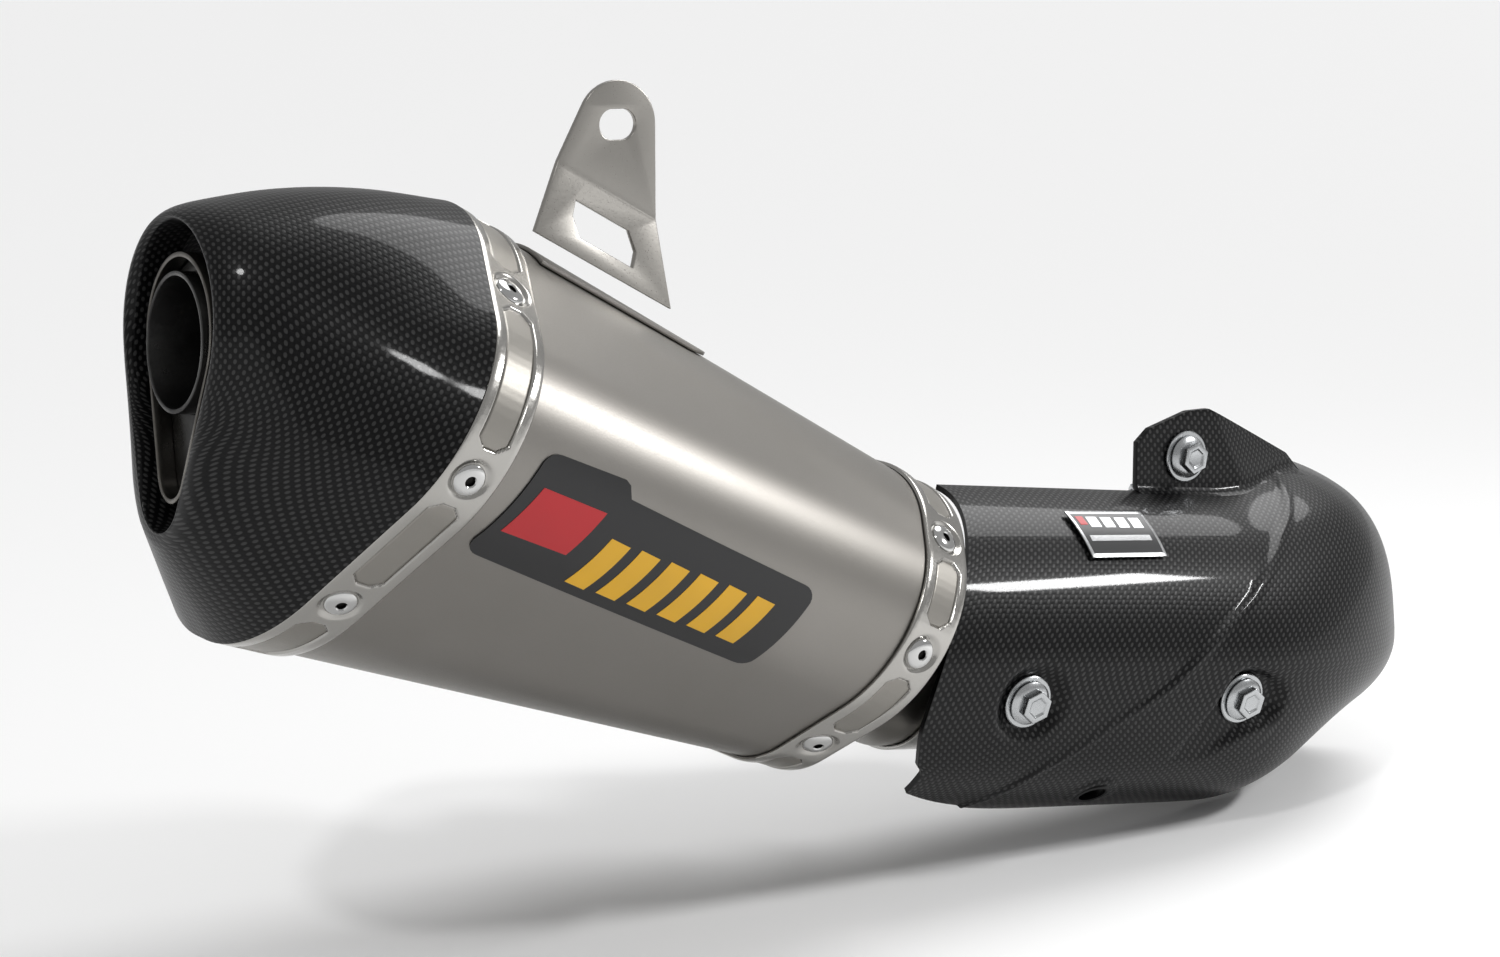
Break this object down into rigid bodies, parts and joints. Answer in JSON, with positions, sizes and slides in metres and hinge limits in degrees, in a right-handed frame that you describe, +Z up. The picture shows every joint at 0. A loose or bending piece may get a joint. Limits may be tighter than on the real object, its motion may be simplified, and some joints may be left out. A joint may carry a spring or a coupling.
{
  "type": "motorcycle slip-on racing exhaust",
  "caption": "Slip-on racing silencer: tapered hexagonal sleeve, carbon end cap, riveted bands, hanger bracket and a bent link pipe under a carbon heat shield.",
  "frame": {"origin": "on the outboard face of the hanger bracket's eye plate, just under its slot", "axes": "+X runs forward towards the engine end, +Y runs inboard towards the wheel, +Z is up"},
  "size_m": [0.4883, 0.2053, 0.247],
  "materials": {
    "titanium_satin": "satin, fine bead-blasted",
    "titanium_polished": "semi-bright",
    "carbon_gloss": "clear-coated carbon weave",
    "steel_dark": "dull, heat-darkened",
    "steel_bright": "bright",
    "zinc_plate": "bright zinc",
    "rivet_steel": "bright",
    "glass_wool": "fibrous",
    "black_badge": "matt print on foil",
    "grey_badge": "satin print on foil",
    "black_rubber": "matt"
  },
  "bodies": {
    "muffler": {"outer_sleeve": "titanium_satin", "rear_band": "titanium_polished", "front_band": "titanium_polished", "end_cap": "carbon_gloss", "rear_rivet_1": "rivet_steel", "rear_rivet_2": "rivet_steel", "rear_rivet_3": "rivet_steel", "rear_rivet_4": "rivet_steel", "rear_rivet_5": "rivet_steel", "rear_rivet_6": "rivet_steel", "rear_rivet_7": "rivet_steel", "rear_rivet_8": "rivet_steel", "front_rivet_1": "rivet_steel", "front_rivet_2": "rivet_steel", "front_rivet_3": "rivet_steel", "front_rivet_4": "rivet_steel", "front_rivet_5": "rivet_steel", "front_rivet_6": "rivet_steel", "front_rivet_7": "rivet_steel", "front_rivet_8": "rivet_steel", "rear_bulkhead": "steel_dark", "outlet_duct": "steel_bright", "perforated_core": "steel_dark", "packing": "glass_wool", "front_cap": "titanium_satin", "hanger_bracket": "titanium_satin", "bracket_foot": "titanium_satin", "sleeve_badge": "black_badge"},
    "noise_damper": {"damper_tube": "steel_dark", "damper_plate": "steel_dark"},
    "link_pipe": {"link_pipe": "steel_dark", "inlet_collar": "steel_bright", "heat_shield": "carbon_gloss", "shield_badge": "grey_badge", "shield_bolt_1": "zinc_plate", "shield_bolt_2": "zinc_plate", "shield_bolt_3": "zinc_plate", "shield_washer_1": "zinc_plate", "shield_washer_2": "zinc_plate", "shield_washer_3": "zinc_plate", "shield_spacer_1": "black_rubber", "shield_spacer_2": "black_rubber", "shield_spacer_3": "black_rubber", "shield_boss_1": "steel_dark", "shield_boss_2": "steel_dark", "shield_boss_3": "steel_dark"},
    "slip_clamp": {"slip_clamp_band": "steel_bright", "slip_clamp_bolt": "zinc_plate", "slip_clamp_nut": "zinc_plate"},
    "inlet_clamp": {"inlet_clamp_band": "steel_bright", "inlet_clamp_bolt": "zinc_plate", "inlet_clamp_nut": "zinc_plate"}
  },
  "joints": [
    {"name": "damper_slide", "type": "slide", "parent": "muffler", "child": "noise_damper", "axis": [-0.9959, 0, 0.0906], "range_m": [0, 0.05]},
    {"name": "slip_joint", "type": "hinge", "parent": "muffler", "child": "link_pipe", "pos_m": [0.0995, 0.0145, -0.1548], "axis": [0.9925, 0, -0.1219], "range_deg": [-5, 5]},
    {"name": "slip_clamp_turn", "type": "hinge", "parent": "muffler", "child": "slip_clamp", "pos_m": [0.11042, 0.0145, -0.15614], "axis": [0.9925, 0, -0.1219], "range_deg": [-20, 20]},
    {"name": "inlet_clamp_turn", "type": "hinge", "parent": "link_pipe", "child": "inlet_clamp", "pos_m": [0.31742, 0.11807, -0.18156], "axis": [0.3718, 0.9272, -0.0457], "range_deg": [-30, 30]}
  ]
}
